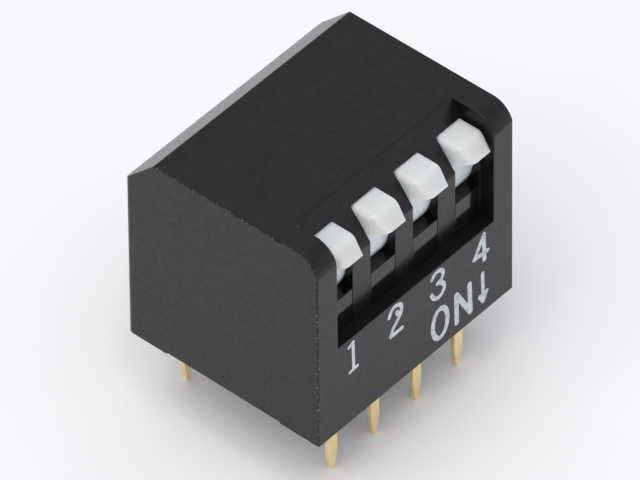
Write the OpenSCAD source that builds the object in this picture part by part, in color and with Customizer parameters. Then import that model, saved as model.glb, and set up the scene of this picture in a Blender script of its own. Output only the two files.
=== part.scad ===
// Four-pole piano-type DIP switch. Millimetres. X runs along the row of levers, the levers
// face -Y, and Z is up. The origin is the centre of the pin grid on the seating plane.

/* [Body] */
// Distance between neighbouring poles and pins
pitch = 2.54; // [2.5:0.02:2.7]
// Depth of the body, front to rear
body_d = 9.9; // [9.7:0.05:10.4]
// Height of the body above the board
body_h = 9.9; // [9.7:0.05:10.4]
// Thickness of the side and rear walls around the base
wall_t = 0.6; // [0.45:0.05:0.7]
// Thickness of the roof and of the slope over the levers
roof_t = 0.6; // [0.5:0.05:0.65]
// Size of the chamfer along the rear top edge
chamfer = 1.5; // [0.8:0.1:1.8]
// Radius of the upright corners
corner_r = 0.1; // [0.06:0.02:0.3]
// Radius of the front top corner of the two cheeks
cheek_r = 1.0; // [0.4:0.1:1.4]
// Height of the relief under the two side walls
relief_h = 0.08; // [0.04:0.02:0.14]
// Length of the relief under the two side walls
relief_l = 5.9; // [4:0.1:7]

/* [Lever window] */
// Thickness of each cheek beside the row of levers
cheek_t = 1.17; // [1.0:0.01:1.4]
// Land between a cheek and the outermost slot
end_land = 0.12; // [0.06:0.02:0.2]
// Height of the window from its sill to the top of the body
window_h = 5.38; // [5.2:0.02:5.6]
// How far the slotted wall lies behind the front
recess_d = 0.6; // [0.5:0.02:0.7]
// Thickness of the slotted wall
slotted_t = 0.5; // [0.4:0.05:0.55]
// Height of the slope over the slotted wall
slope_h = 1.95; // [1.8:0.05:2.1]
// How far the top edge of the slope lies behind the front
slope_top_d = 2.16; // [2:0.02:2.3]
// Width of a lever slot
slot_w = 1.48; // [1.4:0.02:1.56]

/* [Levers] */
// Height of the lever pivot under the top of the body
pivot_drop = 2.3; // [2.2:0.02:2.4]
// How far the lever pivot lies behind the front
pivot_in = 3.95; // [3.9:0.01:4.05]
// Travel from OFF to ON, in degrees
travel = 20; // [16:1:21]
// Clearance on each side of a lever
lever_gap = 0.04; // [0.03:0.01:0.08]
// How far the top of a lever's head lies under the top of the body
head_drop = 0.7; // [0.6:0.02:0.8]
// How far the rear edge of the head's top stands in front of the slope
head_proud = 0.05; // [0:0.01:0.1]
// Length of the flat top of the head
head_l = 1.04; // [0.96:0.02:1.2]
// Height of the head's slanted front
head_front_h = 0.83; // [0.7:0.01:0.9]
// How far the lip of the head stands out of the slotted wall
lip_out = 0.58; // [0.45:0.01:0.58]
// How far the round stem lies behind the face of the slotted wall
stem_in = 0.28; // [0.26:0.01:0.4]
// Radius of the trunnions
trunnion_r = 0.4; // [0.3:0.02:0.44]
// Length of each trunnion
trunnion_l = 0.42; // [0.3:0.02:0.46]
// Radial clearance of the trunnions
trunnion_gap = 0.03; // [0.03:0.01:0.06]
// Gap between the slope's inside and the shield behind each head
shield_gap = 0.3; // [0.25:0.05:0.4]
// Clearance of a lever under the roof
swing_gap = 0.05; // [0.04:0.01:0.1]
// Thickness of the arm that carries the moving contact
arm_t = 0.9; // [0.7:0.05:1.1]

/* [Base] */
// How far the base's top, where the contacts stand, lies under the sill
floor_drop = 1.02; // [0.9:0.02:1.1]
// Clearance between the base and the cover
fit_gap = 0.03; // [0.02:0.01:0.06]
// Height of the lugs that close the foot of each slot above the sill
lug_h = 1.68; // [1.5:0.02:1.8]
// How far the back of a lug ends below its top
lug_back_drop = 0.7; // [0.6:0.05:1]
// How far the saddles under the trunnions end below the pivot
saddle_drop = 0.25; // [0.24:0.02:0.36]
// Thickness of the potting under the base
seal_t = 0.4; // [0.25:0.05:0.6]
// How far the potting lies above the seating plane
seal_up = 0.15; // [0.1:0.05:0.3]

/* [Contacts] */
// How far each row of pins lies inside the body's front or rear face
pin_inset = 1.14; // [1:0.02:1.3]
// Width of a pin
pin_w = 0.5; // [0.4:0.02:0.6]
// Thickness of the terminal sheet
pin_t = 0.25; // [0.2:0.01:0.28]
// Length of a pin under the seating plane
pin_l = 3.5; // [3:0.1:4]
// Length of the narrowing at a pin's end
pin_taper = 1.0; // [0.6:0.1:1.4]
// How far the strip between a pin and its blade lies under the base's top
strip_drop = 0.5; // [0.3:0.05:0.7]
// Height of the strip between a pin and its blade
strip_h = 0.7; // [0.5:0.05:0.9]
// Height of a blade above the base
blade_h = 0.9; // [0.7:0.02:1]
// Length of the raised part of a blade
blade_l = 1.8; // [1.4:0.05:2]
// How far the front blade reaches behind the pivot
blade_reach = 0.1; // [0:0.02:0.14]
// Gap between the two blades of a pole
blade_gap = 0.6; // [0.5:0.02:0.64]
// Sheet thickness of the moving contact
clip_t = 0.15; // [0.1:0.01:0.2]
// Length of the moving contact
clip_l = 1.5; // [1.46:0.02:1.6]
// Clearance between the moving contact and what it passes
clip_gap = 0.05; // [0.03:0.01:0.08]

/* [Hidden] */
$fn = 64;
past = 1;

poles = 4;
row_l = (poles - 1) * pitch;
cavity_w = slot_w;
window_w = row_l + slot_w + 2 * end_land;
body_w = window_w + 2 * cheek_t;
front_y = -body_d / 2;
rear_y = body_d / 2;
slotted_y = front_y + recess_d;
cavity_y = slotted_y + slotted_t;
slope_top_y = front_y + slope_top_d;
roof_z = body_h - roof_t;
slope_foot_z = body_h - slope_h;
sill_z = body_h - window_h;
floor_z = sill_z - floor_drop;
lug_top_z = sill_z + lug_h;
row_span = body_d - 2 * pin_inset;

pivot_y = front_y + pivot_in;
pivot_z = body_h - pivot_drop;
lever_w = slot_w - 2 * lever_gap;
head_z = body_h - head_drop;
head_rear_y = slope_y(head_z) - head_proud;
lip_y = slotted_y - lip_out;
stem_r = pivot_y - slotted_y - stem_in;
head_rear_a = atan2(head_z - pivot_z, head_rear_y - pivot_y);
stop_a = head_rear_a - 1;
shield_r = slope_reach() - roof_t - shield_gap;
shield_a = 180 - asin((roof_z - swing_gap - pivot_z) / shield_r);
stem_top_a = 185;
stem_end_a = 235;
hub_r = 1;
seat_r = trunnion_r + trunnion_gap;
seat_l = trunnion_l + trunnion_gap;

blade_z = floor_z + blade_h;
arm_tilt = travel / 2;
clip_dip = clip_l / 2 * sin(arm_tilt);
crown_r = (pivot_z - blade_z - clip_gap - clip_dip) / cos(arm_tilt);
leg_r = (pivot_z - floor_z - 2 * clip_gap - clip_dip) / cos(arm_tilt);
arm_r = leg_r - 0.3;
clip_w = pin_t + 2 * (clip_gap + clip_t);

base_z = seal_up + seal_t;
front_blade_y = pivot_y + blade_reach;
rear_blade_y = front_blade_y + blade_gap;
strip_z = floor_z - strip_drop - strip_h;

function pole_x(pole) = (pole - (poles + 1) / 2) * pitch;

// Y of the slope's face at height z
function slope_y(z) = slotted_y
    + (z - slope_foot_z) * (slope_top_y - slotted_y) / slope_h;

function slope_a() = atan2(slope_h, slope_top_y - slotted_y);

// Distance from the pivot to the slope's face
function slope_reach() = (pivot_y - slope_y(pivot_z)) * sin(slope_a());

function around_pivot(r, a) = [pivot_y + r * cos(a), pivot_z + r * sin(a)];

// Stands an outline drawn in Y and Z along X, centred on x = 0
module along_x(length) {
    translate([-length / 2, 0, 0]) rotate([90, 0, 90]) linear_extrude(length) children();
}

module at_pivot() {
    translate([0, pivot_y, pivot_z]) children();
}

module block(size_x, y0, y1, z0, z1) {
    translate([-size_x / 2, y0, z0]) cube([size_x, y1 - y0, z1 - z0]);
}

module slice(r, a0, a1) {
    intersection() {
        translate([pivot_y, pivot_z]) circle(r);
        polygon([around_pivot(0, 0), for (a = [a0, (a0 + a1) / 2, a1]) around_pivot(2 * r, a)]);
    }
}

// Side view of the body: a chamfer at the rear top, a round corner at the front top
module body_outline() {
    difference() {
        polygon([[front_y, 0], [rear_y, 0], [rear_y, body_h - chamfer],
            [rear_y - chamfer, body_h], [front_y, body_h]]);
        difference() {
            translate([front_y - past, body_h - cheek_r]) square(cheek_r + past);
            translate([front_y + cheek_r, body_h - cheek_r]) circle(cheek_r);
        }
    }
}

module upright_corners() {
    linear_extrude(body_h) {
        square([body_w, body_d - 2 * corner_r], center = true);
        square([body_w - 2 * corner_r, body_d], center = true);
        for (x = [-1, 1], y = [-1, 1])
            translate([x * (body_w / 2 - corner_r), y * (body_d / 2 - corner_r)]) circle(corner_r);
    }
}

module window() {
    along_x(window_w) polygon([[front_y - past, sill_z], [slotted_y, sill_z],
        [slotted_y, slope_foot_z], [slope_top_y, body_h], [slope_top_y, body_h + past],
        [front_y - past, body_h + past]]);
}

// A slot runs from the lever's upper stop down to the sill
module slot() {
    along_x(slot_w) polygon([around_pivot(0, 0), around_pivot(pivot_in + past, stop_a),
        [front_y - past, body_h + past], [front_y - past, sill_z], [pivot_y, sill_z]]);
}

// The room around one lever, parallel to the roof, the slope and the rear chamfer
module cavity() {
    reach = roof_t / sin(slope_a());
    inner_rear_y = rear_y - wall_t;
    inner_chamfer = rear_y + body_h - chamfer - roof_t * sqrt(2);
    foot_z = slope_foot_z + (cavity_y - slotted_y - reach) * tan(slope_a());
    top_y = slope_y(roof_z) + reach;
    along_x(cavity_w) polygon([[cavity_y, floor_z], [cavity_y, foot_z], [top_y, roof_z],
        [inner_chamfer - roof_z, roof_z], [inner_rear_y, inner_chamfer - inner_rear_y],
        [inner_rear_y, floor_z]]);
}

// Bearing groove across all the ribs, open at the bottom, with a round end at the pivot
module bearing_groove() {
    along_x(row_l + slot_w + 2 * seat_l) {
        translate([pivot_y, pivot_z]) circle(seat_r);
        translate([pivot_y - seat_r, floor_z]) square([2 * seat_r, pivot_z - floor_z]);
    }
}

module cover() {
    color("#26262b") difference() {
        intersection() {
            along_x(body_w + past) body_outline();
            upright_corners();
        }
        window();
        for (pole = [1 : poles]) translate([pole_x(pole), 0, 0]) {
            slot();
            cavity();
        }
        bearing_groove();
        block(body_w - 2 * wall_t, front_y + wall_t, rear_y - wall_t, -past, floor_z);
        block(body_w + past, -relief_l / 2, relief_l / 2, -past, relief_h);
    }
}

// A latch that snaps out of the cavity into the foot of a slot and closes it
module lug() {
    lug_w = slot_w - 2 * fit_gap;
    back_y = cavity_y + slotted_t;
    block(lug_w, cavity_y + fit_gap, back_y, floor_z - past, lug_top_z - lug_back_drop);
    block(lug_w, slotted_y, cavity_y + 2 * fit_gap, sill_z + fit_gap, lug_top_z);
}

// Closes a bearing groove from below with a half-round saddle
module saddle(x0, x1) {
    post_t = 2 * (seat_r - fit_gap);
    translate([(x0 + x1) / 2, 0, 0]) difference() {
        block(x1 - x0, pivot_y - post_t / 2, pivot_y + post_t / 2,
            floor_z - past, pivot_z - saddle_drop);
        at_pivot() rotate([0, 90, 0]) cylinder(r = seat_r, h = x1 - x0 + past, center = true);
    }
}

module base() {
    rib_w = pitch - slot_w - 2 * fit_gap;
    end_x = row_l / 2 + slot_w / 2;
    color("#2b2b2e") difference() {
        union() {
            block(body_w - 2 * (wall_t + fit_gap), front_y + wall_t + fit_gap,
                rear_y - wall_t - fit_gap, base_z, floor_z);
            for (pole = [1 : poles]) translate([pole_x(pole), 0, 0]) lug();
            for (pole = [1 : poles - 1])
                translate([pole_x(pole) + pitch / 2, 0, 0]) saddle(-rib_w / 2, rib_w / 2);
            for (side = [-1, 1])
                saddle(side * (end_x + seat_l / 2) - seat_l / 2 + fit_gap,
                    side * (end_x + seat_l / 2) + seat_l / 2 - fit_gap);
        }
        all_terminals();
    }
}

// Potting that closes the underside around the pins
module seal() {
    color("#3a3733") difference() {
        block(body_w - 2 * wall_t, front_y + wall_t, rear_y - wall_t, seal_up, base_z);
        all_terminals();
    }
}

// Side view of a lever: head, round stem, shield behind the head, hub
module lever_outline() {
    polygon([around_pivot(0, 0), [head_rear_y, head_z], [head_rear_y - head_l, head_z],
        [lip_y, head_z - head_front_h], around_pivot(stem_r, stem_top_a)]);
    slice(stem_r, stem_top_a - 1, stem_end_a);
    slice(shield_r, shield_a, head_rear_a + 1);
    translate([pivot_y, pivot_z]) circle(hub_r);
}

module lever() {
    color("#ecece6") difference() {
        union() {
            along_x(lever_w) lever_outline();
            at_pivot() {
                rotate([0, 90, 0])
                    cylinder(r = trunnion_r, h = lever_w + 2 * trunnion_l, center = true);
                rotate([-arm_tilt, 0, 0]) block(lever_w, -arm_t / 2, arm_t / 2, -arm_r, 0);
            }
        }
        at_pivot() rotate([-arm_tilt, 0, 0])
            block(clip_w, -stem_r, stem_r, -leg_r, clip_t - crown_r);
    }
}

// A folded spring clip on the end of the arm, astride the blades
module moving_contact() {
    color("#c9a24a") at_pivot() rotate([-arm_tilt, 0, 0]) difference() {
        block(clip_w, -clip_l / 2, clip_l / 2, -leg_r, clip_t - crown_r);
        block(clip_w - 2 * clip_t, -clip_l, clip_l, -leg_r - past, -crown_r);
    }
}

// A pin, its anchor and the blade that is folded back from it; side is -1 in the front row
module terminal_shape(side, blade_y) {
    tip_r = pin_w / 4;
    pin_y = side * row_span / 2;
    outer_y = pin_y + side * pin_t / 2;
    riser_y = blade_y + side * blade_l;
    translate([0, pin_y + pin_t / 2, 0]) rotate([90, 0, 0]) linear_extrude(pin_t) {
        translate([0, tip_r - pin_l]) circle(tip_r);
        polygon([[-tip_r, tip_r - pin_l], [tip_r, tip_r - pin_l], [pin_w / 2, pin_taper - pin_l],
            [pin_w / 2, strip_z], [pin_t / 2, strip_z], [pin_t / 2, strip_z + strip_h],
            [-pin_w, strip_z + strip_h], [-pin_w, strip_z - strip_h / 2],
            [-pin_w / 2, strip_z - strip_h / 2], [-pin_w / 2, pin_taper - pin_l]]);
    }
    along_x(pin_t) polygon([[outer_y, strip_z], [outer_y, strip_z + strip_h],
        [riser_y, strip_z + strip_h], [riser_y, blade_z], [blade_y, blade_z], [blade_y, strip_z]]);
}

// Terminals 1 to 4 are the front row, 5 to 8 the rear row
module terminal(number) {
    front = number <= poles;
    color("#d9c48a") translate([pole_x(front ? number : number - poles), 0, 0])
        terminal_shape(front ? -1 : 1, front ? front_blade_y : rear_blade_y);
}

module all_terminals() {
    for (number = [1 : 2 * poles]) terminal(number);
}

cover();
base();
seal();
for (pole = [1 : poles]) translate([pole_x(pole), 0, 0]) {
    lever();
    moving_contact();
}
for (number = [1 : 2 * poles])
    terminal(number);
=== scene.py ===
# Looks of a four-pole piano-type DIP switch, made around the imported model.
# Pieces are shaped in millimetres and scaled to metres when they are finished.
import math

import bmesh
import bpy
from mathutils import Matrix, Vector


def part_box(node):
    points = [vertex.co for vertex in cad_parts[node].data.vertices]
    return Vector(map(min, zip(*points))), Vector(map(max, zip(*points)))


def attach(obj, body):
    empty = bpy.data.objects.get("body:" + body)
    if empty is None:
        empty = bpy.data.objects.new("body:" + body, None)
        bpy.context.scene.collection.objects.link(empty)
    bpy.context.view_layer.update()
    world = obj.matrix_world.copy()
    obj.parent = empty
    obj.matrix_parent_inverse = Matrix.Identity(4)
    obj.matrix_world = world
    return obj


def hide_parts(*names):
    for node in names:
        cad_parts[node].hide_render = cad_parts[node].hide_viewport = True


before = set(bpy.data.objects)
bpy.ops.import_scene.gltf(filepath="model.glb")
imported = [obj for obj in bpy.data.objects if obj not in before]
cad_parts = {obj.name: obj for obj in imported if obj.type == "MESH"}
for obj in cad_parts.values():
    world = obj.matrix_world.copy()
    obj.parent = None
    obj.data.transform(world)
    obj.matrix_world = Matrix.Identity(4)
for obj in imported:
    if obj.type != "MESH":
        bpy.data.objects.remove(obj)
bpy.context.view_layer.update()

mm = 0.001
touch = 0.01   # values closer than this count as the same

# what several pieces share
switch = {
    "poles": [-3.81, -1.27, 1.27, 3.81],   # x of each lever and pin
    "pivot": (-1.0, 7.6),                  # y and z of the levers' pivots
    "slotWidth": 1.48,
    "cavityY": -3.85,                      # back of the wall with the slots
    "sillZ": 4.52,
    "floorZ": 3.5,                         # top of the base inside
    "bearingRadius": 0.43,
}
pivotY, pivotZ = switch["pivot"]
slotHalf = switch["slotWidth"] / 2

# where cutting shapes end, clear of what they cut; "inside" is a height in the room for the base
beyond = {"front": -6, "side": 7, "above": 11, "below": -1, "inside": 2, "spare": 1}


def boxOf(node):
    low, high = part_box(node)
    return low / mm, high / mm


def near(a, b):
    return abs(a - b) < touch


# hand tools

def onlyThis(obj):
    if bpy.context.object and bpy.context.object.mode != "OBJECT":
        bpy.ops.object.mode_set(mode="OBJECT")
    bpy.ops.object.select_all(action="DESELECT")
    obj.select_set(True)
    bpy.context.view_layer.objects.active = obj


def pick(obj, kind, test):
    # selects the faces or edges that pass the test and stays in edit mode
    onlyThis(obj)
    bpy.ops.object.mode_set(mode="EDIT")
    bpy.ops.mesh.select_mode(type=kind)
    bpy.ops.mesh.select_all(action="DESELECT")
    shape = bmesh.from_edit_mesh(obj.data)
    parts = {"EDGE": shape.edges, "FACE": shape.faces}[kind]
    for part in parts:
        if test(part):
            part.select_set(True)
    shape.select_flush_mode()
    bmesh.update_edit_mesh(obj.data)


def leaveEdit():
    bpy.ops.object.mode_set(mode="OBJECT")


def addBlock(name, low, high):
    middle = (Vector(low) + Vector(high)) / 2
    bpy.ops.object.select_all(action="DESELECT")
    bpy.ops.mesh.primitive_cube_add(size=1, location=middle, scale=Vector(high) - Vector(low))
    bpy.ops.object.transform_apply(location=True, rotation=True, scale=True)
    bpy.context.object.name = name
    return bpy.context.object


def addRod(name, radius, x0, x1, sides):
    # a round bar along x on the levers' pivot
    bpy.ops.object.select_all(action="DESELECT")
    bpy.ops.mesh.primitive_cylinder_add(vertices=sides, radius=radius, depth=x1 - x0,
        location=((x0 + x1) / 2, pivotY, pivotZ), rotation=(0, math.pi / 2, 0))
    bpy.ops.object.transform_apply(location=True, rotation=True, scale=True)
    bpy.context.object.name = name
    return bpy.context.object


def trim(obj, place, outward):
    # takes off what lies beyond a plane and closes the cut
    pick(obj, "FACE", lambda face: True)
    bpy.ops.mesh.bisect(plane_co=place, plane_no=outward, use_fill=True, clear_outer=True)
    leaveEdit()


def trimRound(obj, edgePoint, normalA, normalB, radius, flats):
    # rounds the edge between two planes with narrow flats
    outwardA, outwardB = normalA.normalized(), normalB.normalized()
    centre = Vector(edgePoint) - (outwardA + outwardB) * radius / (1 + outwardA.dot(outwardB))
    for flat in range(1, flats):
        outward = outwardA.slerp(outwardB, flat / flats)
        trim(obj, centre + outward * radius, outward)


def applied(obj, kind, **settings):
    onlyThis(obj)
    modifier = obj.modifiers.new(kind.title(), kind)
    for setting, value in settings.items():
        setattr(modifier, setting, value)
    bpy.ops.object.modifier_apply(modifier=modifier.name)


def combine(obj, other, how):
    # a cut or a weld with another shape, which is used up
    applied(obj, "BOOLEAN", object=other, operation=how, solver="EXACT")
    bpy.data.objects.remove(other)


def mergeFlat(obj, gap=0.0005, bend=0.4):
    # joins what lies flat, to that many degrees, so that bevels meet clean edges
    pick(obj, "FACE", lambda face: True)
    bpy.ops.mesh.remove_doubles(threshold=gap)
    bpy.ops.mesh.dissolve_limited(angle_limit=math.radians(bend))
    leaveEdit()


def roundEdges(obj, widthOf, segments=3, sharpAngle=25):
    # bevels each sharp edge by the width that widthOf gives for its middle, all in one go
    onlyThis(obj)
    shape = bmesh.new()
    shape.from_mesh(obj.data)
    weight = shape.edges.layers.float.new("bevel_weight_edge")
    widths = {}
    for edge in shape.edges:
        if len(edge.link_faces) == 2 and edge.is_convex:
            if edge.calc_face_angle(0) > math.radians(sharpAngle):
                widths[edge] = widthOf((edge.verts[0].co + edge.verts[1].co) / 2)
    widest = max(widths.values())
    for edge, width in widths.items():
        edge[weight] = width / widest
    shape.to_mesh(obj.data)
    shape.free()
    applied(obj, "BEVEL", width=widest, segments=segments, limit_method="WEIGHT",
        use_clamp_overlap=False, material=0)


def copyOfNode(node, name):
    # a merged copy of a CAD node, in millimetres
    obj = bpy.data.objects.new(name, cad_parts[node].data.copy())
    bpy.context.scene.collection.objects.link(obj)
    obj.data.transform(Matrix.Scale(1 / mm, 4))
    mergeFlat(obj)
    return obj


def secondOne(obj, name, shiftX):
    twin = bpy.data.objects.new(name, obj.data.copy())
    bpy.context.scene.collection.objects.link(twin)
    twin.data.transform(Matrix.Translation((shiftX, 0, 0)))
    return twin


def finishPiece(obj, body, materials, replaced=(), smoothAngle=35):
    onlyThis(obj)
    if list(obj.data.materials) != materials:
        obj.data.materials.clear()
        for material in materials:
            obj.data.materials.append(material)
    obj.data.transform(Matrix.Scale(mm, 4))
    pick(obj, "FACE", lambda face: True)
    bpy.ops.mesh.normals_make_consistent(inside=False)
    leaveEdit()
    bpy.ops.object.shade_smooth_by_angle(angle=math.radians(smoothAngle))
    applied(obj, "WEIGHTED_NORMAL", keep_sharp=True)
    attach(obj, body)
    if replaced:
        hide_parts(*replaced)


# materials: each look holds colours, sizes in millimetres and shader values

print("materials")


def linear(hexColour):
    # sRGB hex to the linear values that shaders take
    channels = [int(hexColour[i:i + 2], 16) / 255 for i in (1, 3, 5)]
    return [c / 12.92 if c <= 0.04045 else ((c + 0.055) / 1.055) ** 2.4 for c in channels] + [1]


def addNode(tree, kind, settings={}, links={}):
    node = tree.nodes.new("ShaderNode" + kind)
    for name, value in settings.items():
        if isinstance(name, int) or name in node.inputs:
            node.inputs[name].default_value = value
        else:
            setattr(node, name, value)
    for name, source in links.items():
        tree.links.new(source, node.inputs[name])
    return node


def newMaterial(name):
    material = bpy.data.materials.new(name)
    material.use_nodes = True
    material.node_tree.nodes.clear()
    return material, material.node_tree


# Black PBT with glass fibre, injection moulded in an eroded die: deep grey-black with a soft sheen. The
# grain breaks up the reflections, flow marks and fine scratches make the sheen uneven, and dust leaves rare
# light specks.
blackPlastic = {
    "dark": "#131211", "light": "#1b1a19", "ior": 1.5, "roughLow": 0.17, "roughHigh": 0.31,
    "sheen": 0.33, "sheenSpread": 0.055, "sheenShows": (0.85, 1.85),   # spans of a pattern that take effect
    "coolTint": (1.0, 0.95, 1.07, 1), "warmTint": (1.0, 0.98, 1.0, 1),
    "grainMm": 0.09,     # the real grain is near 0.02, too fine to show
    "grainBump": 0.09, "grainDepth": 0.02,
    "flowMm": 2.2, "mottleMm": 0.28, "mottleShare": 1.7,
    "scratchMm": 0.12, "scratchLength": 0.9, "scratchTilt": 12,
    "speckMm": 0.16, "speckTone": "#6d6e70", "speckShows": (0.075, 0.045), "speckChosen": (0.93, 0.97),
    # the wear tone also paints a highlight line along the window's left edge
    "wearMm": 0.08, "wearLength": 0.15, "wearAndHighlightTone": "#727276", "wearAndHighlightShows": (0.56, 0.68),
    "wearBump": 0.5, "wearDepth": 0.03,
}


def mouldedBlack(name, wornAndHighlit=False, sheenShare=1):
    look = blackPlastic
    material, tree = newMaterial(name)
    place = addNode(tree, "TexCoord")
    inMm = addNode(tree, "Mapping", {"Scale": (1 / mm,) * 3}, {"Vector": place.outputs["Object"]})
    flow = addNode(tree, "TexNoise", {"Scale": 1 / look["flowMm"], "Detail": 3, "Distortion": 0.6},
        {"Vector": inMm.outputs[0]})
    mottle = addNode(tree, "TexNoise", {"Scale": 1 / look["mottleMm"], "Detail": 2},
        {"Vector": inMm.outputs[0]})
    grain = addNode(tree, "TexNoise", {"Scale": 1 / look["grainMm"], "Detail": 3, "Roughness": 0.6},
        {"Vector": inMm.outputs[0]})
    # scratches run along the side walls, a little downhill
    along = addNode(tree, "Mapping", {"Rotation": (math.radians(look["scratchTilt"]), 0, 0),
        "Scale": (1 / look["scratchMm"], 1 / look["scratchLength"], 1 / look["scratchMm"])},
        {"Vector": inMm.outputs[0]})
    scratch = addNode(tree, "TexNoise", {"Scale": 1, "Detail": 1}, {"Vector": along.outputs[0]})
    uneven = addNode(tree, "Math", {"operation": "MULTIPLY_ADD", 1: look["mottleShare"]},
        {0: mottle.outputs["Fac"], 2: scratch.outputs["Fac"]})
    sheen = addNode(tree, "MapRange", {"From Min": look["sheenShows"][0], "From Max": look["sheenShows"][1],
        "To Min": sheenShare * (look["sheen"] - look["sheenSpread"]),
        "To Max": sheenShare * (look["sheen"] + look["sheenSpread"])},
        {"Value": uneven.outputs[0]})
    tint = addNode(tree, "Mix", {"data_type": "RGBA", 6: look["coolTint"], 7: look["warmTint"]},
        {0: flow.outputs["Fac"]})
    base = addNode(tree, "Mix", {"data_type": "RGBA", 6: linear(look["dark"]), 7: linear(look["light"])},
        {0: grain.outputs["Fac"]})
    if wornAndHighlit:
        # light dashes where the edge has worn or the die left flash; on the window's left edge, a painted
        # highlight
        worn = addNode(tree, "Mapping",
            {"Scale": (1 / look["wearMm"], 1 / look["wearLength"], 1 / look["wearLength"])},
            {"Vector": inMm.outputs[0]})
        wear = addNode(tree, "TexNoise", {"Scale": 1, "Detail": 3, "Roughness": 0.6},
            {"Vector": worn.outputs[0]})
        mask = addNode(tree, "MapRange",
            {"From Min": look["wearAndHighlightShows"][0], "From Max": look["wearAndHighlightShows"][1]},
            {"Value": wear.outputs["Fac"]})
    else:
        # a small round speck in a few of the cells
        speck = addNode(tree, "TexVoronoi", {"Scale": 1 / look["speckMm"], "Randomness": 1},
            {"Vector": inMm.outputs[0]})
        isSpeck = addNode(tree, "MapRange",
            {"From Min": look["speckShows"][0], "From Max": look["speckShows"][1]},
            {"Value": speck.outputs["Distance"]})
        cell = addNode(tree, "SeparateColor", {}, {0: speck.outputs["Color"]})
        chosen = addNode(tree, "MapRange",
            {"From Min": look["speckChosen"][0], "From Max": look["speckChosen"][1]},
            {"Value": cell.outputs[0]})
        mask = addNode(tree, "Math", {"operation": "MULTIPLY"},
            {0: isSpeck.outputs[0], 1: chosen.outputs[0]})
    colour = addNode(tree, "Mix",
        {"data_type": "RGBA", 7: linear(look["wearAndHighlightTone"] if wornAndHighlit else look["speckTone"])},
        {0: mask.outputs[0], 6: base.outputs[2]})
    rough = addNode(tree, "MapRange", {"To Min": look["roughLow"], "To Max": look["roughHigh"]},
        {"Value": grain.outputs["Fac"]})
    bump = addNode(tree, "Bump", {"Strength": look["grainBump"], "Distance": look["grainDepth"] * mm},
        {"Height": grain.outputs["Fac"]})
    if wornAndHighlit:
        bump = addNode(tree, "Bump", {"Strength": look["wearBump"], "Distance": look["wearDepth"] * mm},
            {"Height": wear.outputs["Fac"], "Normal": bump.outputs[0]})
    shader = addNode(tree, "BsdfPrincipled",
        {"IOR": look["ior"], "Specular IOR Level": sheenShare * look["sheen"]},
        {"Base Color": colour.outputs[2], "Roughness": rough.outputs[0], "Normal": bump.outputs[0],
         "Specular IOR Level": sheen.outputs[0], "Specular Tint": tint.outputs[2]})
    addNode(tree, "OutputMaterial", {}, {"Surface": shader.outputs[0]})
    return material


blackPbtMoulded = mouldedBlack("glass_filled_black_pbt_moulded")
# worn edges, and a painted highlight along the window's left edge
blackPbtWornAndHighlit = mouldedBlack("glass_filled_black_pbt_rubbed_edge_and_painted_highlight", wornAndHighlit=True)
blackPbtDull = mouldedBlack("glass_filled_black_pbt_dull_inner_walls", sheenShare=0.45)

# Black PBT without the eroded grain, moulded in a polished die: glossier than the cover.
latchPlastic = {
    "colour": "#0c0c0d", "swirl": "#131314", "waveMm": 0.9,
    "ior": 1.5, "gloss": 0.44, "roughLow": 0.07, "roughHigh": 0.15,
}


def mouldedLatch(name):
    look = latchPlastic
    material, tree = newMaterial(name)
    place = addNode(tree, "TexCoord")
    inMm = addNode(tree, "Mapping", {"Scale": (1 / mm,) * 3}, {"Vector": place.outputs["Object"]})
    wave = addNode(tree, "TexNoise", {"Scale": 1 / look["waveMm"], "Detail": 2}, {"Vector": inMm.outputs[0]})
    colour = addNode(tree, "Mix", {"data_type": "RGBA", 6: linear(look["colour"]), 7: linear(look["swirl"])},
        {0: wave.outputs["Fac"]})
    rough = addNode(tree, "MapRange", {"To Min": look["roughLow"], "To Max": look["roughHigh"]},
        {"Value": wave.outputs["Fac"]})
    shader = addNode(tree, "BsdfPrincipled", {"IOR": look["ior"], "Specular IOR Level": look["gloss"]},
        {"Base Color": colour.outputs[2], "Roughness": rough.outputs[0]})
    addNode(tree, "OutputMaterial", {}, {"Surface": shader.outputs[0]})
    return material


blackPbtPolished = mouldedLatch("black_pbt_polished_moulding")

# White acetal, injection moulded: light enters it a little, so edges glow and shades stay soft. The stem
# under each head is painted a brighter, bluer white than the head: a painted glow over its shade.
leverPlastic = {
    # thin: the stem's painted glow, a brighter, bluer white than the head that stands in for light
    "white": "#d6dada", "cream": "#d9dad3", "creamShows": (0.35, 0.8), "thin": "#dfe9eb",
    "neckTop": 8.42, "neckLow": 8.2,     # the stem's tone comes in between these heights
    "ior": 1.48, "gloss": 0.2, "roughLow": 0.56, "roughHigh": 0.68,
    "glowMm": 0.6, "glowSpread": (1.0, 0.95, 0.85),
    "mottleMm": 0.9, "grainMm": 0.07, "grainBump": 0.06, "grainDepth": 0.02,
}


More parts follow.
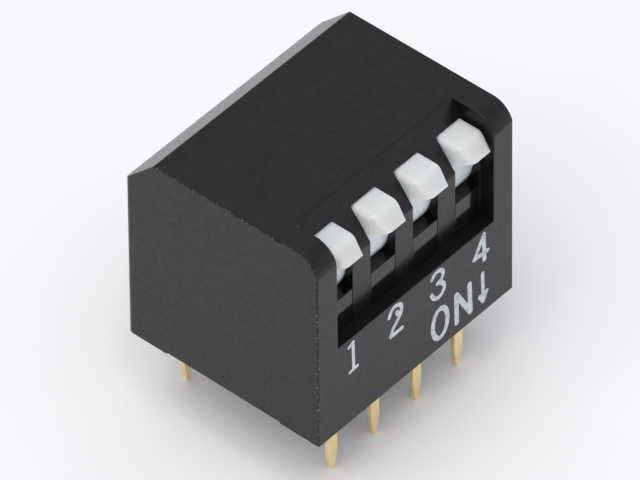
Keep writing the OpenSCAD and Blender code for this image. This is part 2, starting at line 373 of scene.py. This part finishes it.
def mouldedWhite(name):
    look = leverPlastic
    material, tree = newMaterial(name)
    place = addNode(tree, "TexCoord")
    inMm = addNode(tree, "Mapping", {"Scale": (1 / mm,) * 3}, {"Vector": place.outputs["Object"]})
    mottle = addNode(tree, "TexNoise", {"Scale": 1 / look["mottleMm"], "Detail": 2},
        {"Vector": inMm.outputs[0]})
    grain = addNode(tree, "TexNoise", {"Scale": 1 / look["grainMm"], "Detail": 2},
        {"Vector": inMm.outputs[0]})
    share = addNode(tree, "MapRange",
        {"From Min": look["creamShows"][0], "From Max": look["creamShows"][1]},
        {"Value": mottle.outputs["Fac"]})
    even = addNode(tree, "Mix", {"data_type": "RGBA", 6: linear(look["white"]), 7: linear(look["cream"])},
        {0: share.outputs[0]})
    height = addNode(tree, "SeparateXYZ", {}, {0: inMm.outputs[0]})
    neckGlow = addNode(tree, "MapRange", {"From Min": look["neckTop"], "From Max": look["neckLow"]},
        {"Value": height.outputs["Z"]})
    # the stem gets the thin tone, a painted glow over the shade under the head
    colour = addNode(tree, "Mix", {"data_type": "RGBA", 7: linear(look["thin"])},
        {0: neckGlow.outputs[0], 6: even.outputs[2]})
    rough = addNode(tree, "MapRange", {"To Min": look["roughLow"], "To Max": look["roughHigh"]},
        {"Value": grain.outputs["Fac"]})
    bump = addNode(tree, "Bump", {"Strength": look["grainBump"], "Distance": look["grainDepth"] * mm},
        {"Height": grain.outputs["Fac"]})
    shader = addNode(tree, "BsdfPrincipled",
        {"IOR": look["ior"], "Specular IOR Level": look["gloss"], "Subsurface Weight": 1.0,
         "Subsurface Radius": look["glowSpread"], "Subsurface Scale": look["glowMm"] * mm},
        {"Base Color": colour.outputs[2], "Roughness": rough.outputs[0], "Normal": bump.outputs[0]})
    addNode(tree, "OutputMaterial", {}, {"Surface": shader.outputs[0]})
    return material


whiteAcetal = mouldedWhite("white_acetal_moulded")

# Flash gold over nickel on stamped phosphor bronze: pale and matte, with fine lines along the pin and duller
# clouds. The contacts inside have a thicker, yellower plating.
platedLook = {
    "lineStretch": 0.06, "lineBump": 0.15, "lineDepth": 0.01,
    "cloudsPerMm": 2.2, "dullShows": (0.58, 0.78), "dullShare": 0.7,
}
pinMetal = {
    "gold": "#ffeeb9", "pale": "#fbe8b3", "dull": "#ead393",
    "roughLow": 0.32, "roughHigh": 0.54, "lineMm": 0.05,
}
contactMetal = {
    "gold": "#e8c878", "pale": "#dcbb6c", "dull": "#b8924c",
    "roughLow": 0.22, "roughHigh": 0.44, "lineMm": 0.04,
}


def platedMetal(name, look):
    material, tree = newMaterial(name)
    place = addNode(tree, "TexCoord")
    alongZ = addNode(tree, "Mapping", {"Scale": (1 / mm, 1 / mm, platedLook["lineStretch"] / mm)},
        {"Vector": place.outputs["Object"]})
    inMm = addNode(tree, "Mapping", {"Scale": (1 / mm,) * 3}, {"Vector": place.outputs["Object"]})
    lines = addNode(tree, "TexNoise", {"Scale": 1 / look["lineMm"], "Detail": 2},
        {"Vector": alongZ.outputs[0]})
    cloud = addNode(tree, "TexNoise", {"Scale": platedLook["cloudsPerMm"], "Detail": 3},
        {"Vector": inMm.outputs[0]})
    even = addNode(tree, "Mix", {"data_type": "RGBA", 6: linear(look["gold"]), 7: linear(look["pale"])},
        {0: lines.outputs["Fac"]})
    stain = addNode(tree, "MapRange", {"From Min": platedLook["dullShows"][0],
        "From Max": platedLook["dullShows"][1], "To Max": platedLook["dullShare"]},
        {"Value": cloud.outputs["Fac"]})
    colour = addNode(tree, "Mix", {"data_type": "RGBA", 7: linear(look["dull"])},
        {0: stain.outputs[0], 6: even.outputs[2]})
    rough = addNode(tree, "MapRange", {"To Min": look["roughLow"], "To Max": look["roughHigh"]},
        {"Value": cloud.outputs["Fac"]})
    bump = addNode(tree, "Bump",
        {"Strength": platedLook["lineBump"], "Distance": platedLook["lineDepth"] * mm},
        {"Height": lines.outputs["Fac"]})
    shader = addNode(tree, "BsdfPrincipled", {"Metallic": 1},
        {"Base Color": colour.outputs[2], "Roughness": rough.outputs[0], "Normal": bump.outputs[0]})
    addNode(tree, "OutputMaterial", {}, {"Surface": shader.outputs[0]})
    return material


goldFlash = platedMetal("gold_flash_on_stamped_bronze", pinMetal)
goldContact = platedMetal("gold_plated_spring_bronze", contactMetal)

# Black epoxy, poured: a smooth dull skin with small craters and a slight swirl.
resinLook = {
    "dark": "#151413", "light": "#34312d", "ior": 1.55, "roughLow": 0.28, "roughHigh": 0.54,
    "swirlsPerMm": 0.6, "pitsPerMm": 2.4, "pitEdge": 0.16, "pitBump": 0.35, "pitDepth": 0.05,
}


def pouredResin(name):
    look = resinLook
    material, tree = newMaterial(name)
    place = addNode(tree, "TexCoord")
    inMm = addNode(tree, "Mapping", {"Scale": (1 / mm,) * 3}, {"Vector": place.outputs["Object"]})
    swirl = addNode(tree, "TexNoise", {"Scale": look["swirlsPerMm"], "Detail": 4, "Distortion": 2.5},
        {"Vector": inMm.outputs[0]})
    pits = addNode(tree, "TexVoronoi", {"Scale": look["pitsPerMm"]}, {"Vector": inMm.outputs[0]})
    pit = addNode(tree, "MapRange", {"From Max": look["pitEdge"]}, {"Value": pits.outputs["Distance"]})
    colour = addNode(tree, "Mix", {"data_type": "RGBA", 6: linear(look["dark"]), 7: linear(look["light"])},
        {0: swirl.outputs["Fac"]})
    rough = addNode(tree, "MapRange", {"To Min": look["roughLow"], "To Max": look["roughHigh"]},
        {"Value": swirl.outputs["Fac"]})
    bump = addNode(tree, "Bump", {"Strength": look["pitBump"], "Distance": look["pitDepth"] * mm},
        {"Height": pit.outputs[0]})
    shader = addNode(tree, "BsdfPrincipled", {"IOR": look["ior"]},
        {"Base Color": colour.outputs[2], "Roughness": rough.outputs[0], "Normal": bump.outputs[0]})
    addNode(tree, "OutputMaterial", {}, {"Surface": shader.outputs[0]})
    return material


blackEpoxy = pouredResin("black_epoxy_poured")

# White pad-printing ink: thin, so it is greyish, uneven and pricked with pinholes.
inkLook = {
    "white": "#cfd6d8", "thin": "#a5adb0", "thinShows": (0.40, 0.75), "ior": 1.5, "rough": 0.55,
    "patchMm": 0.22, "patchBump": 0.1, "patchDepth": 0.01,
    "holeMm": 0.12, "hole": "#55575a", "holeShows": (0.14, 0.06),
}


def padPrinted(name):
    look = inkLook
    material, tree = newMaterial(name)
    place = addNode(tree, "TexCoord")
    inMm = addNode(tree, "Mapping", {"Scale": (1 / mm,) * 3}, {"Vector": place.outputs["Object"]})
    patch = addNode(tree, "TexNoise", {"Scale": 1 / look["patchMm"], "Detail": 3},
        {"Vector": inMm.outputs[0]})
    share = addNode(tree, "MapRange",
        {"From Min": look["thinShows"][0], "From Max": look["thinShows"][1]},
        {"Value": patch.outputs["Fac"]})
    film = addNode(tree, "Mix", {"data_type": "RGBA", 6: linear(look["white"]), 7: linear(look["thin"])},
        {0: share.outputs[0]})
    holes = addNode(tree, "TexVoronoi", {"Scale": 1 / look["holeMm"]}, {"Vector": inMm.outputs[0]})
    isHole = addNode(tree, "MapRange",
        {"From Min": look["holeShows"][0], "From Max": look["holeShows"][1]},
        {"Value": holes.outputs["Distance"]})
    colour = addNode(tree, "Mix", {"data_type": "RGBA", 7: linear(look["hole"])},
        {0: isHole.outputs[0], 6: film.outputs[2]})
    bump = addNode(tree, "Bump", {"Strength": look["patchBump"], "Distance": look["patchDepth"] * mm},
        {"Height": patch.outputs["Fac"]})
    shader = addNode(tree, "BsdfPrincipled", {"IOR": look["ior"], "Roughness": look["rough"]},
        {"Base Color": colour.outputs[2], "Normal": bump.outputs[0]})
    addNode(tree, "OutputMaterial", {}, {"Surface": shader.outputs[0]})
    return material


whiteInk = padPrinted("white_pad_printing_ink")

print("cover")
cover = {
    "frontCorner": 0.09, "rearCorner": 0.22, "cornerSegments": 4,
    "cheekRound": 1.0, "cheekFlats": 9, "rearChamfer": 1.5,
    "windowHalf": 4.67, "slopeFoot": (-4.35, 7.95), "slopeTop": (-2.79, 9.9),
    "stopAngle": 145.3,              # the slots end at this ray from the pivot
    "wall": 0.6, "roofZ": 9.3, "grooveHalf": 5.0, "seatSides": 48,
    "reliefZ": 0.08, "reliefHalf": 2.95,
    "draft": 0.05, "draftZone": 0.15,       # the walls, this deep, lean out by this much at the bottom
    "outerEdge": 0.055, "windowEdge": 0.035, "slotEdge": 0.012, "footEdge": 0.025,
    "slopeTopEdge": 0.10, "slopeFootEdge": 0.10,
    "burrStep": 0.13, "burrHeight": 0.12,   # the die left a ragged burr along the top's left edge
    "windowBurr": 0.06,                     # and a low one along the window's left end
    "windowBurrEnd": 0.1,                   # the low one stops this far before the slope's top
    "burrReach": 0.9,                       # share of the edge's width that a burr stands on
}
coverFinishes = [blackPbtMoulded, blackPbtWornAndHighlit, blackPbtDull]
coverLow, coverHigh = boxOf("cover")
shell = addBlock("cover_shell", coverLow, coverHigh)
for material in coverFinishes:
    shell.data.materials.append(material)


def isUpright(edge, side):
    # a long upright edge at the front (side -1) or the rear (side 1)
    first, last = edge.verts[0].co, edge.verts[1].co
    return abs(first.z - last.z) > 1 and first.y * side > 4 and last.y * side > 4


for radius, side in ((cover["frontCorner"], -1), (cover["rearCorner"], 1)):
    pick(shell, "EDGE", lambda edge: isUpright(edge, side))
    bpy.ops.mesh.bevel(offset=radius, segments=cover["cornerSegments"], affect="EDGES")
    leaveEdit()

# rear chamfer, then the round front top in narrow flats
trim(shell, (0, coverHigh.y - cover["rearChamfer"], coverHigh.z), (0, 1, 1))
for flat in range(1, cover["cheekFlats"]):
    turn = math.radians(90 * flat / cover["cheekFlats"])
    outward = Vector((0, -math.cos(turn), math.sin(turn)))
    centre = Vector((0, coverLow.y + cover["cheekRound"], coverHigh.z - cover["cheekRound"]))
    trim(shell, centre + outward * cover["cheekRound"], outward)

# lever window: a step down to the sill and the slope above the slots
half = cover["windowHalf"]
footY, footZ = cover["slopeFoot"]
topY, topZ = cover["slopeTop"]
slopeOut = Vector((0, footZ - topZ, topY - footY)).normalized()
combine(shell, addBlock("step", (-half, beyond["front"], switch["sillZ"]), (half, footY, beyond["above"])),
    "DIFFERENCE")
wedge = addBlock("wedge", (-half, beyond["front"], footZ - beyond["spare"]),
    (half, topY + beyond["spare"], beyond["above"]))
trim(wedge, (0, footY, footZ), -slopeOut)
trim(wedge, (0, footY, footZ), (0, 0, -1))
combine(shell, wedge, "DIFFERENCE")

# slots, the room around each lever, the bearing groove, the room for the base and the relief at the foot
stop = math.radians(cover["stopAngle"])
rearInside = coverHigh.y - cover["wall"]
chamferInside = coverHigh.y - cover["rearChamfer"] - cover["wall"] * math.sqrt(2)
for poleX in switch["poles"]:
    slot = addBlock("slot", (poleX - slotHalf, beyond["front"], switch["sillZ"]),
        (poleX + slotHalf, pivotY, beyond["above"]))
    trim(slot, (0, pivotY, pivotZ), (0, math.sin(stop), -math.cos(stop)))
    combine(shell, slot, "DIFFERENCE")
    room = addBlock("room", (poleX - slotHalf, switch["cavityY"], beyond["inside"]),
        (poleX + slotHalf, rearInside, cover["roofZ"]))
    trim(room, Vector((0, footY, footZ)) - slopeOut * cover["wall"], slopeOut)
    trim(room, (0, chamferInside, coverHigh.z), (0, 1, 1))
    combine(shell, room, "DIFFERENCE")
groove = addBlock("groove", (-cover["grooveHalf"], pivotY - switch["bearingRadius"], beyond["inside"]),
    (cover["grooveHalf"], pivotY + switch["bearingRadius"], pivotZ))
seat = addRod("seat", switch["bearingRadius"], -cover["grooveHalf"], cover["grooveHalf"], cover["seatSides"])
combine(groove, seat, "UNION")
combine(shell, groove, "DIFFERENCE")
combine(shell, addBlock("under", (coverLow.x + cover["wall"], coverLow.y + cover["wall"], beyond["below"]),
    (coverHigh.x - cover["wall"], rearInside, switch["floorZ"])), "DIFFERENCE")
combine(shell, addBlock("relief", (-beyond["side"], -cover["reliefHalf"], beyond["below"]),
    (beyond["side"], cover["reliefHalf"], cover["reliefZ"])), "DIFFERENCE")
mergeFlat(shell)


def coverEdge(middle):
    x, y, z = abs(middle.x), middle.y, middle.z
    onSlope = near((middle - Vector((0, footY, footZ))).dot(slopeOut), 0)
    if near(y, topY) and near(z, topZ):
        return cover["slopeTopEdge"]
    if near(y, footY) and near(z, footZ):
        return cover["slopeFootEdge"]
    if x < half - touch and (near(y, footY) or onSlope) and z > switch["sillZ"]:
        return cover["slotEdge"]
    if near(x, half) and (y < footY or z > footZ):
        return cover["windowEdge"]
    if near(z, switch["sillZ"]) and near(y, coverLow.y):
        return cover["windowEdge"]
    if z < cover["reliefZ"] + touch:
        return cover["footEdge"]
    if near(x, coverHigh.x) or near(z, coverHigh.z) or abs(y) > coverHigh.y - touch:
        return cover["outerEdge"]
    return 0


def draftAt(z):
    return cover["draft"] * (1 - z / coverHigh.z)


def burrAt(along):
    # height of the burr there, from 0 to 1: it comes and goes and breaks off in places
    swell = math.sin(along * 3.1 + 0.6) + math.sin(along * 7.7 + 2.0)
    broken = math.sin(along * 127.1) * 437.585 % 1
    return max(0, min(1, 0.25 + 0.3 * swell)) * (0.25 + 0.75 * broken)


def burrShare(distance, width):
    # the burr falls off inwards over the width of the rounded edge
    inward = distance / width
    return 1 - inward if -touch < inward < cover["burrReach"] else 0


# the top's left edge and the window's are cut up for the burrs
for edgeX, edgeEnd in ((coverLow.x, coverHigh.y - cover["rearChamfer"]), (-half, topY)):
    pick(shell, "EDGE", lambda edge: all(near(vertex.co.x, edgeX) and near(vertex.co.z, coverHigh.z)
        for vertex in edge.verts))
    burrLength = edgeEnd - coverLow.y - cover["cheekRound"]
    bpy.ops.mesh.subdivide(number_cuts=round(burrLength / cover["burrStep"]))
    leaveEdit()
roundEdges(shell, coverEdge)
outerTop = coverHigh.z - cover["outerEdge"]
windowTop = coverHigh.z - cover["windowEdge"]
for vertex in shell.data.vertices:
    x, y, z = vertex.co
    if z > outerTop - 0.001:
        vertex.co.z += cover["burrHeight"] * burrAt(y) * burrShare(x - coverLow.x, cover["outerEdge"])
    if z > windowTop - 0.001 and y < topY - cover["windowBurrEnd"]:
        height = cover["windowBurr"] * (0.5 + 0.5 * burrAt(y + 1))
        vertex.co.z += height * burrShare(-half - x, cover["windowEdge"])


def isWornOrHighlit(face):
    # worn: the top's left edge, the left cheek's upright front edge and round; painted highlight: the
    # window's left edge
    x, y, z = face.calc_center_median()
    isLeft = x < coverLow.x + cover["outerEdge"]
    onTopEdge = isLeft and z > outerTop
    onRound = isLeft and y < coverLow.y + cover["cheekRound"] and z > coverHigh.z - cover["cheekRound"]
    onUpright = x < coverLow.x + cover["frontCorner"] and y < coverLow.y + cover["frontCorner"]
    # a thin painted highlight in the wear colour along the window's left edge
    windowHighlight = -half - cover["windowEdge"] < x < -half - 0.002 and z > footZ
    return onTopEdge or onUpright or onRound or windowHighlight


def isInnerWall(face):
    x, y, z = face.calc_center_median()
    return near(abs(x), half) and abs(face.normal.x) > 0.99 and z > switch["sillZ"]


for index, test in ((1, isWornOrHighlit), (2, isInnerWall)):
    pick(shell, "FACE", test)
    shell.active_material_index = index
    bpy.ops.object.material_slot_assign()
    leaveEdit()
for vertex in shell.data.vertices:
    x, y, z = vertex.co
    if abs(x) > coverHigh.x - cover["draftZone"]:
        vertex.co.x += math.copysign(draftAt(z), x)
    if abs(y) > coverHigh.y - cover["draftZone"]:
        vertex.co.y += math.copysign(draftAt(z), y)
finishPiece(shell, "housing", coverFinishes, ["cover"])

# lugs, saddles and floor, from the CAD node with the lugs' edges broken
print("base")
baseShape = {
    "lugEdge": 0.035, "lugDepth": 0.02,
    "lugGap": 0.005, "lugGapInCad": 0.03,     # between each side of a lug and its slot
}
base = copyOfNode("base", "base_moulding")


def onLug(place):
    # only the lugs show, at the foot of the slots
    return place.y < switch["cavityY"] + baseShape["lugDepth"] and place.z > switch["sillZ"]


roundEdges(base, lambda middle: baseShape["lugEdge"] if onLug(middle) else 0)
widen = (slotHalf - baseShape["lugGap"]) / (slotHalf - baseShape["lugGapInCad"])
for vertex in base.data.vertices:
    if onLug(vertex.co):
        poleX = min(switch["poles"], key=lambda pole: abs(vertex.co.x - pole))
        vertex.co.x = poleX + (vertex.co.x - poleX) * widen
finishPiece(base, "housing", [blackPbtPolished], ["base"])

# the resin creeps up the walls and the pins
print("potting")
potting = {
    "creepWall": 0.10, "creepPin": 0.13, "creepMost": 0.14,
    "reach": 0.35, "wallFade": 2, "pinFade": 2.4,
    "pinRows": 3.81, "pinHalf": (0.25, 0.125), "rim": 0.02, "cells": 64,
}
sealLow, sealHigh = boxOf("seal")
fill = addBlock("potting_fill", sealLow, sealHigh)
pick(fill, "FACE", lambda face: face.normal.z < -0.5)
bpy.ops.mesh.inset(thickness=potting["rim"])
bpy.ops.mesh.subdivide(number_cuts=potting["cells"])
leaveEdit()
pinHalfX, pinHalfY = potting["pinHalf"]
for vertex in fill.data.vertices:
    if vertex.co.z < sealLow.z + 0.001:
        x, y = vertex.co.x, vertex.co.y
        toWall = min(sealHigh.x - abs(x), sealHigh.y - abs(y))
        toRow = max(abs(abs(y) - potting["pinRows"]) - pinHalfY, 0)
        toPin = min(math.hypot(max(abs(x - poleX) - pinHalfX, 0), toRow) for poleX in switch["poles"])
        creep = potting["creepWall"] * math.exp(-toWall / potting["reach"] * potting["wallFade"])
        creep += potting["creepPin"] * math.exp(-toPin / potting["reach"] * potting["pinFade"])
        vertex.co.z -= min(creep, potting["creepMost"])
finishPiece(fill, "housing", [blackEpoxy], ["seal"], smoothAngle=50)

print("levers")
lever = {
    "width": 1.44,
    "headRear": (-3.40, 9.2), "headFront": (-4.44, 9.2), "lip": (-4.93, 8.37),
    "underside": (-3.97, 8.10),      # the head's underside runs from the lip through here
    "headBack": -2.15, "headFoot": 0.7,
    "cornerCut": (0.45, 0.62),       # the head's front left corner is cut off upright, in x and y
    "leftRound": 0.28, "frontRound": 0.36, "cutLeftRound": 0.7, "cutFrontRound": 0.34,
    "flats": 6, "cutLeftFlats": 5,   # each round is made of this many narrow flats, less one
    "hubRadius": 1.0, "hubSides": 64,
    # radius, first and last angle about the pivot, and sides of the full round
    "stem": (3.07, 157, 235, 160), "web": (2.2, 146.8, 160, 120), "shield": (1.935, 121.5, 147.3, 120),
    "armTilt": 10, "armHalf": 0.45, "armTop": 0.1, "armReach": 3.64,
    "clipHalf": 0.325, "clipTop": 3.06, "clipRoom": 0.15, "notchHalf": 2, "notchReach": 5,
    "trunnionRadius": 0.4, "trunnionLength": 0.42, "trunnionSides": 48,
    "edge": 0.035, "edgeRear": -2.9, "edgeFoot": 5.3,
}
# the parts are welded over-wide, each by its own amount so that no sides are flush, and cut flush afterwards
overWide = {"hub": 0.1, "head": 0.15, "stem": 0.2, "shield": 0.25, "arm": 0.3, "web": 0.35}
halfWidth = lever["width"] / 2


def sector(name):
    # a wedge of a round bar about the pivot
    radius, startAngle, endAngle, sides = lever[name]
    rodHalf = halfWidth + overWide[name]
    rod = addRod(name, radius, -rodHalf, rodHalf, sides)
    for angle, side in ((startAngle, 1), (endAngle, -1)):
        turn = math.radians(angle)
        trim(rod, (0, pivotY, pivotZ), (0, side * math.sin(turn), -side * math.cos(turn)))
    return rod


hubHalf = halfWidth + overWide["hub"]
rocker = addRod("lever_piece", lever["hubRadius"], -hubHalf, hubHalf, lever["hubSides"])

# the head: a block cut to its side view, then its left corner and the rounds
headHalf = halfWidth + overWide["head"]
frontY, topOfHead = lever["headFront"]
lipY, lipZ = lever["lip"]
head = addBlock("head", (-headHalf, beyond["front"], pivotZ - lever["headFoot"]),
    (headHalf, lever["headBack"], topOfHead))
for (y0, z0), (y1, z1) in ((switch["pivot"], lever["headRear"]), (lever["headFront"], lever["lip"]),
        (lever["lip"], lever["underside"])):
    trim(head, (0, y0, z0), (0, z1 - z0, y0 - y1))
cutX, cutY = lever["cornerCut"]
up, left, corner = Vector((0, 0, 1)), Vector((-1, 0, 0)), Vector((-cutY, -cutX, 0))
front = Vector((0, lipZ - topOfHead, frontY - lipY))
trim(head, (-halfWidth + cutX, lipY, 0), corner)
for normalA, normalB, radius in ((up, left, lever["leftRound"]), (left, front, lever["leftRound"]),
        (up, front, lever["frontRound"])):
    trimRound(head, (-halfWidth, frontY, topOfHead), normalA, normalB, radius, lever["flats"])
trimRound(head, (-halfWidth, lipY + cutY, lipZ), left, corner, lever["cutLeftRound"],
    lever["cutLeftFlats"])
trimRound(head, (-halfWidth + cutX, lipY, lipZ), corner, front, lever["cutFrontRound"],
    lever["flats"])
combine(rocker, head, "UNION")
for name in ("stem", "web", "shield"):
    combine(rocker, sector(name), "UNION")

# the arm reaches down inside, with a notch for the spring clip, and leans back
armWide = halfWidth + overWide["arm"]
arm = addBlock("arm", (-armWide, pivotY - lever["armHalf"], pivotZ - lever["armReach"]),
    (armWide, pivotY + lever["armHalf"], pivotZ - lever["armTop"]))
notch = addBlock("notch", (-lever["clipHalf"], pivotY - lever["notchHalf"], pivotZ - lever["notchReach"]),
    (lever["clipHalf"], pivotY + lever["notchHalf"], pivotZ - lever["clipTop"] + lever["clipRoom"]))
combine(arm, notch, "DIFFERENCE")
arm.data.transform(Matrix.Translation((0, pivotY, pivotZ))
    @ Matrix.Rotation(math.radians(-lever["armTilt"]), 4, "X")
    @ Matrix.Translation((0, -pivotY, -pivotZ)))
combine(rocker, arm, "UNION")
for side in (-1, 1):
    trim(rocker, (side * halfWidth, 0, 0), (side, 0, 0))
trunnionEnd = halfWidth + lever["trunnionLength"]
trunnion = addRod("trunnion", lever["trunnionRadius"], -trunnionEnd, trunnionEnd, lever["trunnionSides"])
combine(rocker, trunnion, "UNION")
mergeFlat(rocker)


def leverEdge(middle):
    # the head and the stem are softened, and what stays inside isn't
    shows = middle.y < lever["edgeRear"] and middle.z > lever["edgeFoot"]
    return lever["edge"] if shows else 0


roundEdges(rocker, leverEdge)
for number, poleX in enumerate(switch["poles"], 1):
    piece = secondOne(rocker, "lever_piece_%d" % number, poleX)
    finishPiece(piece, "rocker_%d" % number, [whiteAcetal], ["lever_%d" % number])
bpy.data.objects.remove(rocker)

# one terminal of each row, copied along it
print("terminals")
terminal = {"edge": 0.035, "edgeTop": 2, "edgeSegments": 2}
for row in (0, 1):
    first = copyOfNode("terminal_%d" % (1 + 4 * row), "pin")
    roundEdges(first, lambda middle: terminal["edge"] if middle.z < terminal["edgeTop"] else 0,
        terminal["edgeSegments"])
    for number, poleX in enumerate(switch["poles"], 1 + 4 * row):
        piece = secondOne(first, "terminal_piece_%d" % number, poleX - switch["poles"][0])
        finishPiece(piece, "housing", [goldFlash], ["terminal_%d" % number])
    bpy.data.objects.remove(first)
for number in range(1, 5):
    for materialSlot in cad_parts["moving_contact_%d" % number].material_slots:
        materialSlot.material = goldContact

# front print: each glyph's strokes through points of x and z, the smooth ones marked True
print("print")
ink = {
    "stroke": 0.213,
    "ownStroke": {"one": 0.183, "four": 0.235, "letterO": 0.25, "letterN": 0.27},
    "thick": 0.007, "voxel": 0.020, "ragged": 0.006,
}
oval = {"x": 1.42, "z": 1.345, "halfWidth": 0.44, "halfHeight": 0.79, "points": 16}   # the letter O
ovalTurns = [point * 2 * math.pi / oval["points"] for point in range(oval["points"] + 1)]
glyphs = {
    "one": [(False, [(-4.03, 4.10), (-3.80, 4.22)]), (False, [(-3.80, 4.22), (-3.77, 2.74)]),
        (False, [(-4.00, 2.71), (-3.56, 2.76)])],
    "two": [(True, [(-1.635, 3.92), (-1.56, 4.13), (-1.38, 4.25), (-1.16, 4.26), (-0.96, 4.13),
        (-0.90, 3.90), (-0.98, 3.64), (-1.17, 3.40), (-1.42, 3.13), (-1.55, 2.84)]),
        (False, [(-1.53, 2.80), (-0.88, 2.83)]),
        (False, [(-1.18, 3.90), (-1.12, 3.74)])],   # a stray touch of the pad
    "three": [(True, [(0.93, 4.07), (1.06, 4.23), (1.27, 4.28), (1.49, 4.20), (1.60, 3.99), (1.53, 3.76),
        (1.27, 3.63)]),
        (True, [(1.27, 3.63), (1.55, 3.48), (1.67, 3.22), (1.57, 2.95), (1.33, 2.83), (1.07, 2.95),
        (0.90, 3.24)])],
    "four": [(False, [(4.12, 2.86), (4.07, 4.24)]), (False, [(4.07, 4.24), (3.50, 3.26)]),
        (False, [(3.50, 3.26), (4.30, 3.21)])],
    "letterO": [(True, [(oval["x"] + oval["halfWidth"] * math.sin(turn),
        oval["z"] + oval["halfHeight"] * math.cos(turn)) for turn in ovalTurns])],
    "letterN": [(False, [(2.43, 0.60), (2.40, 2.14)]), (False, [(2.40, 2.14), (3.27, 0.60)]),
        (False, [(3.27, 0.60), (3.20, 2.14)])],
    "arrow": [(False, [(4.00, 2.15), (4.05, 0.62)]), (False, [(3.83, 0.98), (4.05, 0.60)]),
        (False, [(4.05, 0.60), (4.26, 1.03)]), (False, [(3.92, 0.88), (4.17, 0.90)])],
}


def addStroke(name, smooth, points, radius):
    # a round tube through the points, with a ball at each end and corner
    curve = bpy.data.curves.new(name, "CURVE")
    curve.dimensions = "3D"
    curve.bevel_depth = radius
    curve.bevel_resolution = 4
    curve.use_fill_caps = True
    spline = curve.splines.new("BEZIER")
    spline.bezier_points.add(len(points) - 1)
    for knot, (x, z) in zip(spline.bezier_points, points):
        knot.co = (x, 0, z)
        knot.handle_left_type = knot.handle_right_type = "AUTO" if smooth else "VECTOR"
    line = bpy.data.objects.new(name, curve)
    bpy.context.scene.collection.objects.link(line)
    onlyThis(line)
    bpy.ops.object.convert(target="MESH")
    parts = [bpy.context.object]
    for x, z in ([points[0], points[-1]] if smooth else points):
        bpy.ops.object.select_all(action="DESELECT")
        bpy.ops.mesh.primitive_uv_sphere_add(segments=20, ring_count=12, radius=radius,
            location=(x, 0, z))
        bpy.ops.object.transform_apply(location=True, rotation=True, scale=True)
        parts.append(bpy.context.object)
    return parts


def addGlyph(name, strokes, radius):
    parts = []
    for smooth, points in strokes:
        parts += addStroke(name, smooth, points, radius)
    onlyThis(parts[0])
    for part in parts:
        part.select_set(True)
    bpy.ops.object.join()
    joined = bpy.context.object
    joined.name = name
    joined.data.name = name
    applied(joined, "REMESH", mode="VOXEL", voxel_size=ink["voxel"])
    return joined


for name, strokes in glyphs.items():
    radius = ink["ownStroke"].get(name, ink["stroke"]) / 2
    mark = addGlyph("print_" + name, strokes, radius)
    # ragged outlines, then pressed thin against the front
    for vertex in mark.data.vertices:
        x, y, z = vertex.co
        wander = math.sin(x * 31 + z * 17) + math.sin(x * 53 - z * 47) + math.sin(z * 71)
        vertex.co.x += ink["ragged"] * wander / 2
        vertex.co.z += ink["ragged"] * math.sin(x * 43 + z * 29)
        vertex.co.y = coverLow.y - draftAt(z) + y * ink["thick"] / radius
    finishPiece(mark, "housing", [whiteInk], smoothAngle=80)

# floor, lights, world and camera
print("stage")
studio = {
    "floorZ": -3.5, "floorSize": 900, "floorTone": "#fafafa", "floorRough": 0.9, "floorIor": 1.3,
    "world": 0.66, "worldTint": "#fbf9ff",
    "aimZ": 4,      # the lights aim at this height on the z axis
    # place and size in mm, and power in watts
    "lights": {
        "key": ((-95, -25, 268), 260, 0.42),
        "fill": ((-300, -40, 130), 220, 0.06),
        "front": ((172, -251, 99), 200, 0.025),
    },
}
bpy.ops.object.select_all(action="DESELECT")
bpy.ops.mesh.primitive_plane_add(size=studio["floorSize"] * mm, location=(0, 0, studio["floorZ"] * mm))
floor = bpy.context.object
floor.name = "floor"
floorPaper, tree = newMaterial("white_paper_sweep")
paper = addNode(tree, "BsdfPrincipled",
    {"Base Color": linear(studio["floorTone"]), "Roughness": studio["floorRough"],
     "IOR": studio["floorIor"]})
addNode(tree, "OutputMaterial", {}, {"Surface": paper.outputs[0]})
floor.data.materials.append(floorPaper)

for name, (place, size, power) in studio["lights"].items():
    bpy.ops.object.select_all(action="DESELECT")
    bpy.ops.object.light_add(type="AREA", location=Vector(place) * mm)
    lamp = bpy.context.object
    lamp.name = name
    lamp.data.shape = "SQUARE"
    lamp.data.size = size * mm
    lamp.data.energy = power
    aim = Vector((0, 0, studio["aimZ"] * mm)) - lamp.location
    lamp.rotation_euler = aim.to_track_quat("-Z", "Y").to_euler()

world = bpy.data.worlds.new("studio")
bpy.context.scene.world = world
world.use_nodes = True
world.node_tree.nodes.clear()
sky = addNode(world.node_tree, "Background",
    {"Color": linear(studio["worldTint"]), "Strength": studio["world"]})
addNode(world.node_tree, "OutputWorld", {}, {"Surface": sky.outputs[0]})

view = {
    "place": (-190.03, -167.11, 250.30), "azimuth": -48.669, "elevation": 44.248, "roll": -0.575,
    "lens": 504.85, "sensor": 36, "clip": (0.01, 10),
}
cameraData = bpy.data.cameras.new("camera")
cameraData.sensor_width = view["sensor"]
cameraData.lens = view["lens"]
cameraData.clip_start, cameraData.clip_end = view["clip"]
camera = bpy.data.objects.new("camera", cameraData)
bpy.context.scene.collection.objects.link(camera)
camera.matrix_world = (Matrix.Translation(Vector(view["place"]) * mm)
    @ Matrix.Rotation(math.radians(view["azimuth"]), 4, "Z")
    @ Matrix.Rotation(math.radians(90 - view["elevation"]), 4, "X")
    @ Matrix.Rotation(math.radians(view["roll"]), 4, "Z"))
bpy.context.scene.camera = camera
bpy.context.scene.view_settings.view_transform = "Standard"
